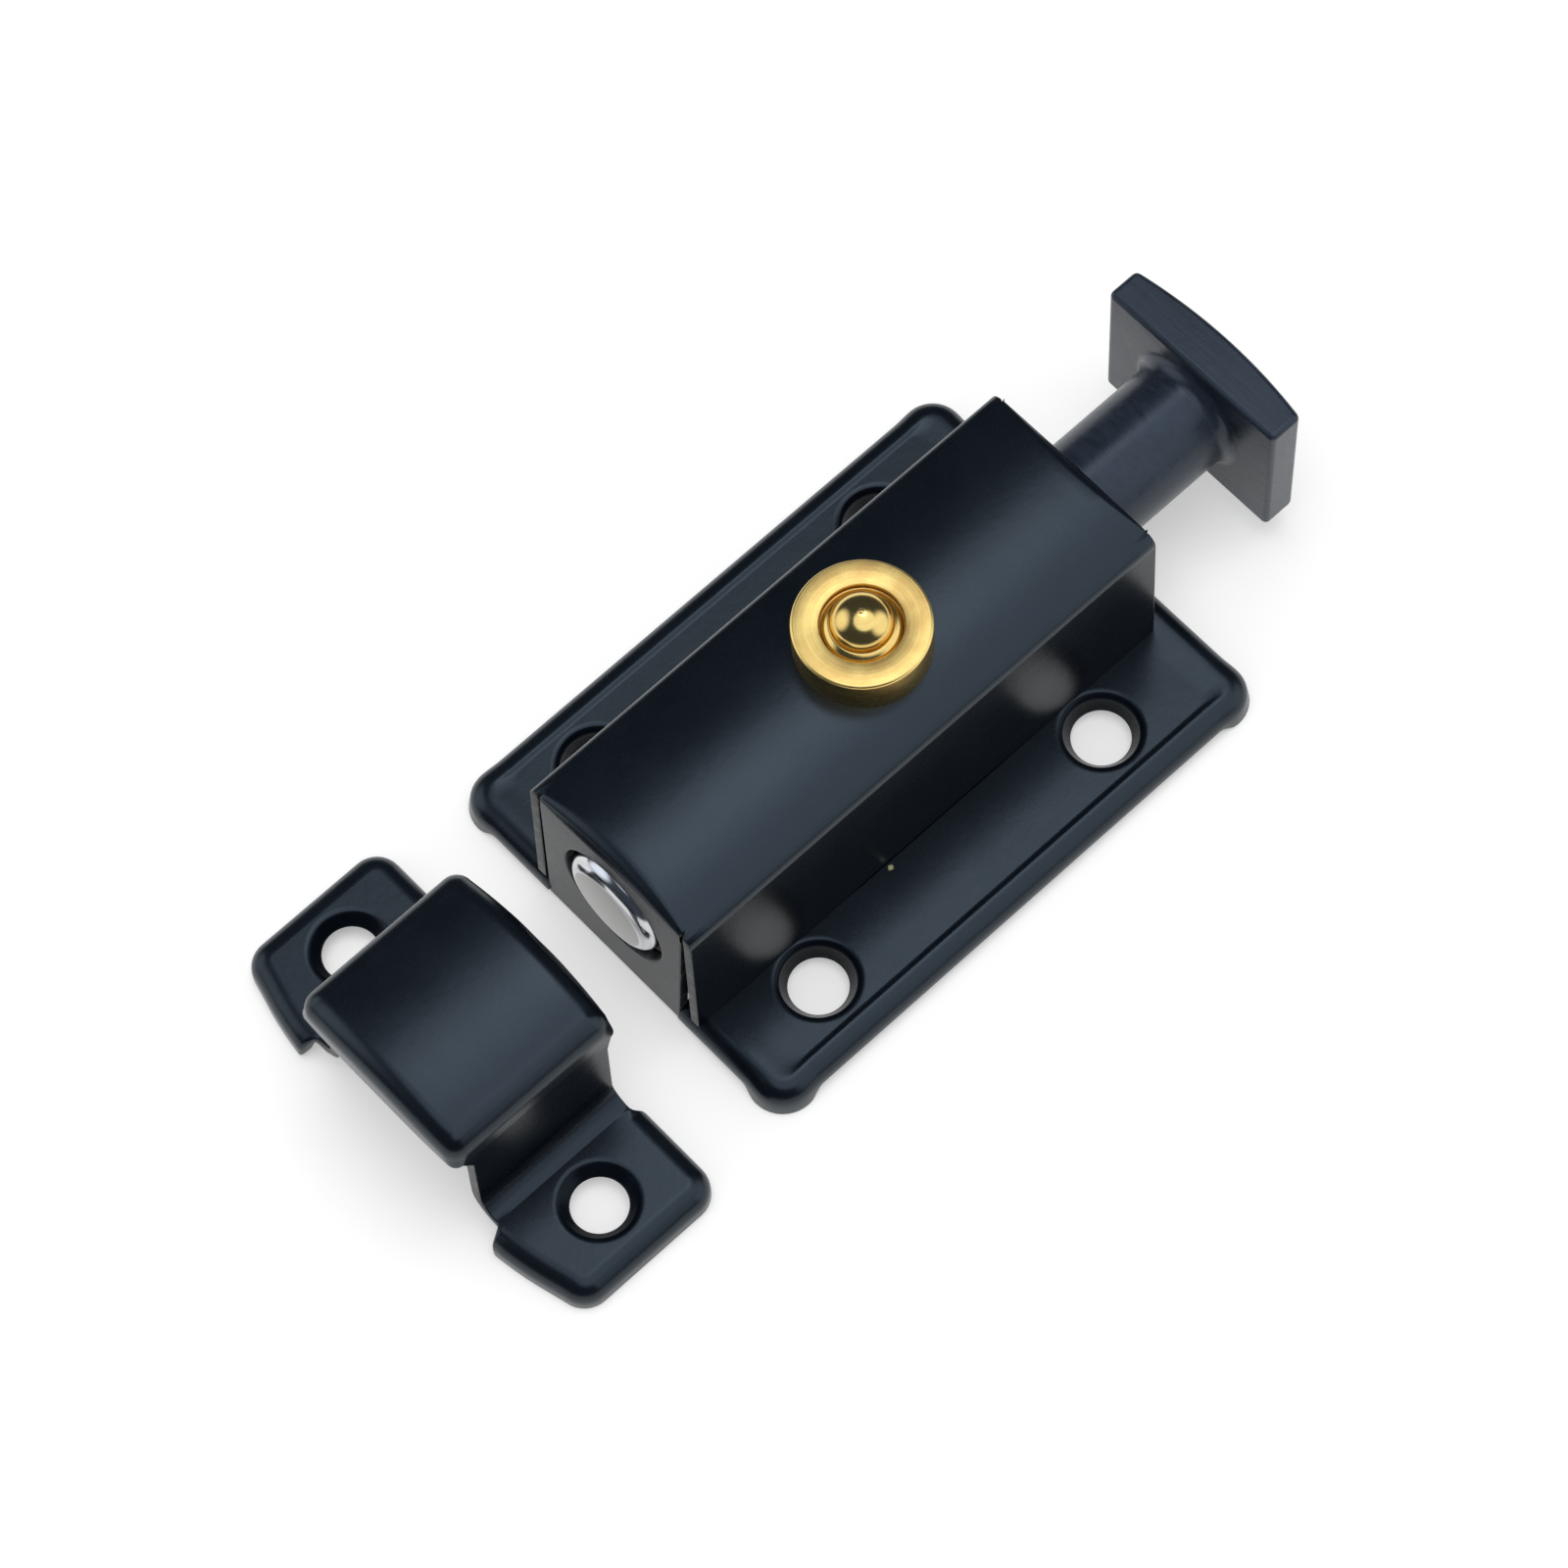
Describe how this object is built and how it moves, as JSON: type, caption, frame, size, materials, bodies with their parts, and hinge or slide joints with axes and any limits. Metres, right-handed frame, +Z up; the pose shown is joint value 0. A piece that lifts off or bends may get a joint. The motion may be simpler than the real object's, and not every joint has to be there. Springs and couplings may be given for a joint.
{
  "type": "push-button bolt latch",
  "caption": "Push-button bolt latch with a T knob on a pressed base plate, and the bridge keeper that its spring-returned bolt enters.",
  "frame": {"origin": "under the middle of the set's bounding box, on the mounting surface", "axes": "+X along the bolt from the T knob towards the keeper, +Z up off the mounting surface, +Y to the left when facing the keeper"},
  "size_m": [0.0774, 0.0346, 0.021],
  "materials": {
    "black_paint": "satin blue-black paint on pressed steel",
    "knob_paint": "matter blue-black paint on turned and milled steel",
    "chrome": "polished chrome plate",
    "brass": "turned brass, its rings of turning left to show",
    "spring_steel": "drawn spring steel"
  },
  "bodies": {
    "latch_body": {"base_plate": "black_paint", "housing": "black_paint", "button_collar": "brass", "thrust_washer": "spring_steel", "return_spring": "spring_steel", "button_spring": "spring_steel", "keeper": "black_paint"},
    "bolt_assembly": {"bolt": "chrome", "spring_clip": "spring_steel", "knob": "knob_paint", "knob_pin": "spring_steel"},
    "button_assembly": {"button_pin": "brass", "lock_clip": "spring_steel"}
  },
  "joints": [
    {"name": "bolt_slide", "type": "slide", "parent": "latch_body", "child": "bolt_assembly", "axis": [1, 0, 0], "range_m": [0, 0.0103], "stiffness_N_per_m": 250, "springref_m": -0.015, "deforming": ["return_spring"]},
    {"name": "button_press", "type": "slide", "parent": "latch_body", "child": "button_assembly", "axis": [0, 0, -1], "range_m": [0, 0.0013], "stiffness_N_per_m": 400, "springref_m": -0.003, "deforming": ["button_spring"]}
  ]
}
